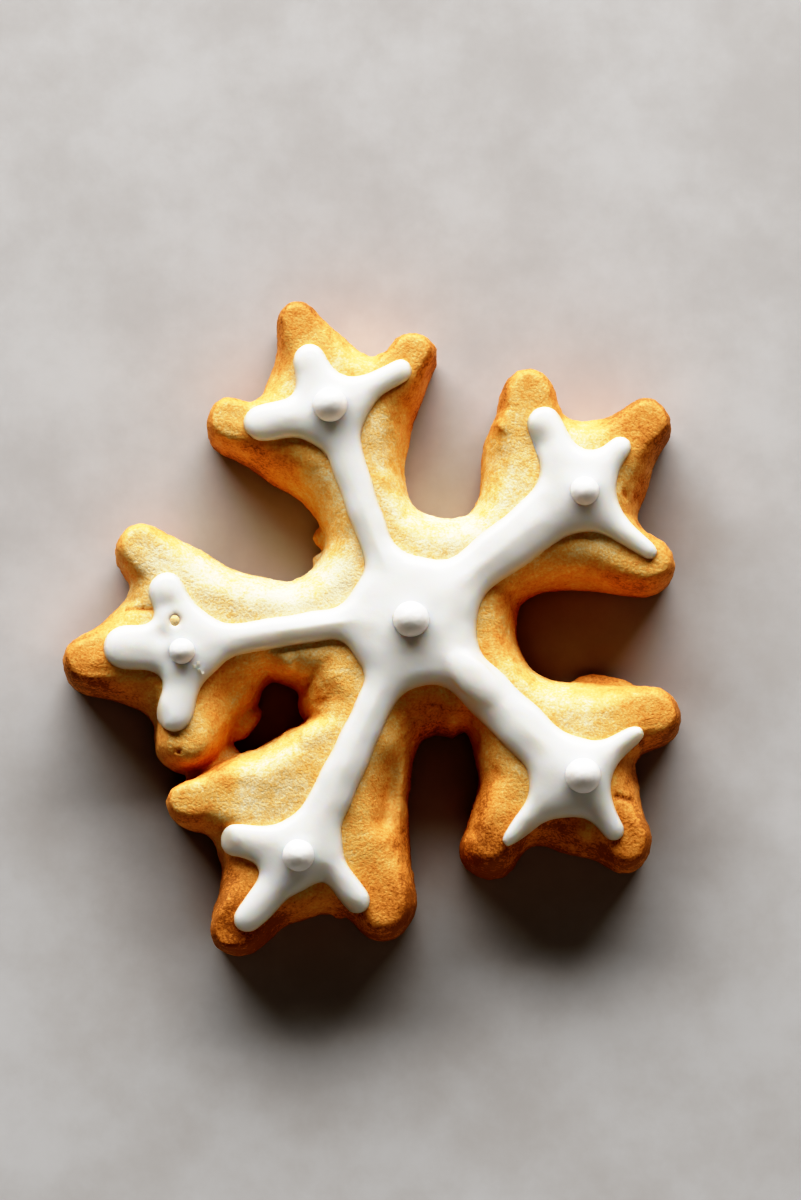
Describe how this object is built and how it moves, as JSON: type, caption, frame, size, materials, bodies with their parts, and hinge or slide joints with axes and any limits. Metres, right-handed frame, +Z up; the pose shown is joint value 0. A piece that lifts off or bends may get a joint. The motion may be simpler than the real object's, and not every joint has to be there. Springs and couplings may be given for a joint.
{
  "type": "iced sugar cookie",
  "caption": "Flat snowflake-shaped sugar cookie with white icing piped along its arms and sugar pearls set in the icing, to be laid on a plate or hung in a display.",
  "frame": {"origin": "on the underside, below the middle of the hub from which the arms spread", "axes": "+Z up through the cookie, from its flat underside to the icing; +Y along the pictured cookie from its lower arms to its upper arms; +X to its right"},
  "size_m": [0.0714, 0.0764, 0.0147],
  "materials": {
    "cookie": "matte baked dough, browner at the tips and edges",
    "icing": "glossy set royal icing"
  },
  "bodies": {
    "root": {"cookie": "cookie", "icing": "icing"}
  },
  "joints": []
}
